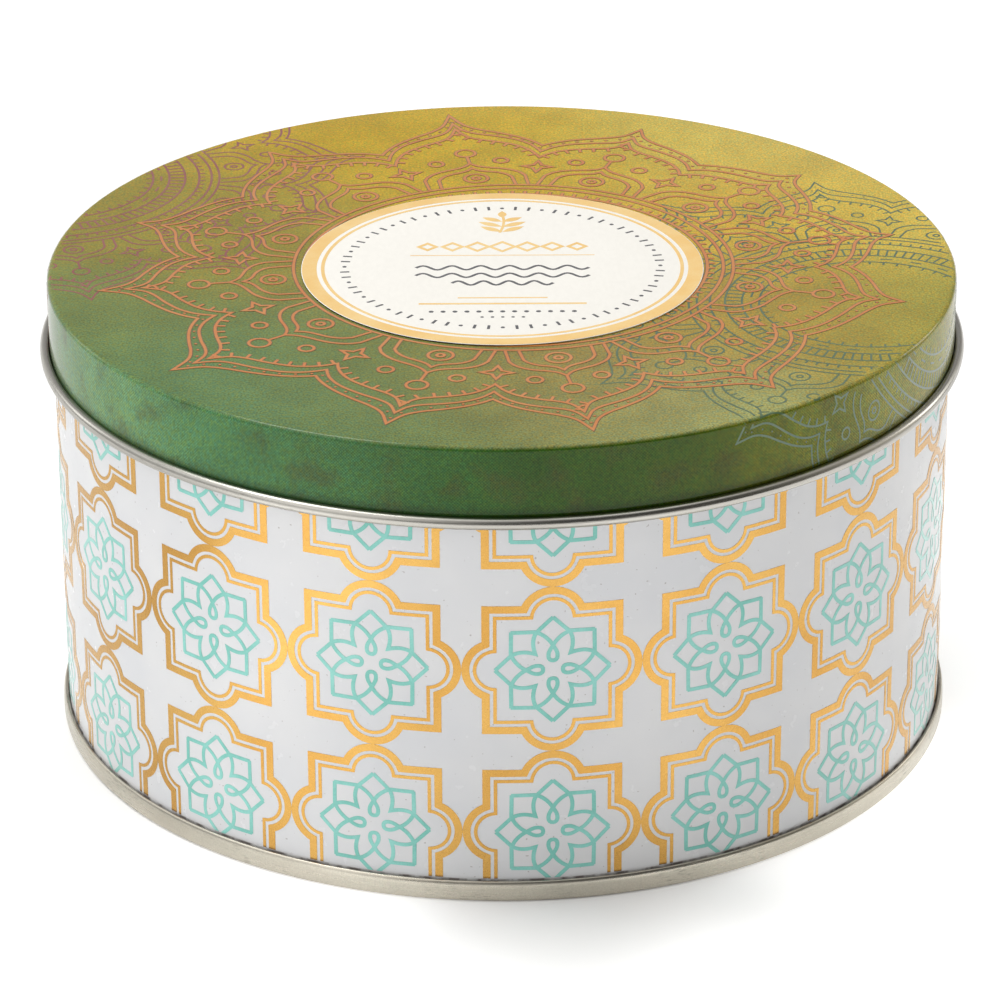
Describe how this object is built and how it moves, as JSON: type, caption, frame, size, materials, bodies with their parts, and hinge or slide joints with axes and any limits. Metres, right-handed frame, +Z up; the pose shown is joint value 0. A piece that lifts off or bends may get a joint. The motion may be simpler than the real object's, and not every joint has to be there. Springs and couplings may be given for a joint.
{
  "type": "candle tin",
  "caption": "Round printed tinplate candle tin with a slip-over lid that lifts off a poured candle with upright wicks.",
  "frame": {"origin": "centre of the circle the foot stands on", "axes": "+Z up along the tin's axis; the folded side seam is at +Y, behind the side the picture shows"},
  "size_m": [0.1114, 0.1114, 0.0573],
  "materials": {
    "printed_wall": "gloss",
    "bare_tinplate": "satin",
    "printed_lid": "gloss",
    "label_paper": "satin",
    "wax": "satin",
    "wick_cotton": "matte",
    "wick_metal": "satin",
    "foam": "matte",
    "sealing_compound": "matte"
  },
  "bodies": {
    "tin": {"body_wall": "printed_wall", "base_end": "bare_tinplate", "base_seam_compound": "sealing_compound", "wax_fill": "wax", "wick_pad_1": "foam", "wick_tab_1": "wick_metal", "wick_1": "wick_cotton", "wick_pad_2": "foam", "wick_tab_2": "wick_metal", "wick_2": "wick_cotton", "wick_pad_3": "foam", "wick_tab_3": "wick_metal", "wick_3": "wick_cotton"},
    "lid": {"lid": "printed_lid", "lid_label": "label_paper"}
  },
  "joints": [
    {"name": "lid_lift", "type": "slide", "parent": "tin", "child": "lid", "axis": [0, 0, 1], "range_m": [0, 0.06]}
  ]
}
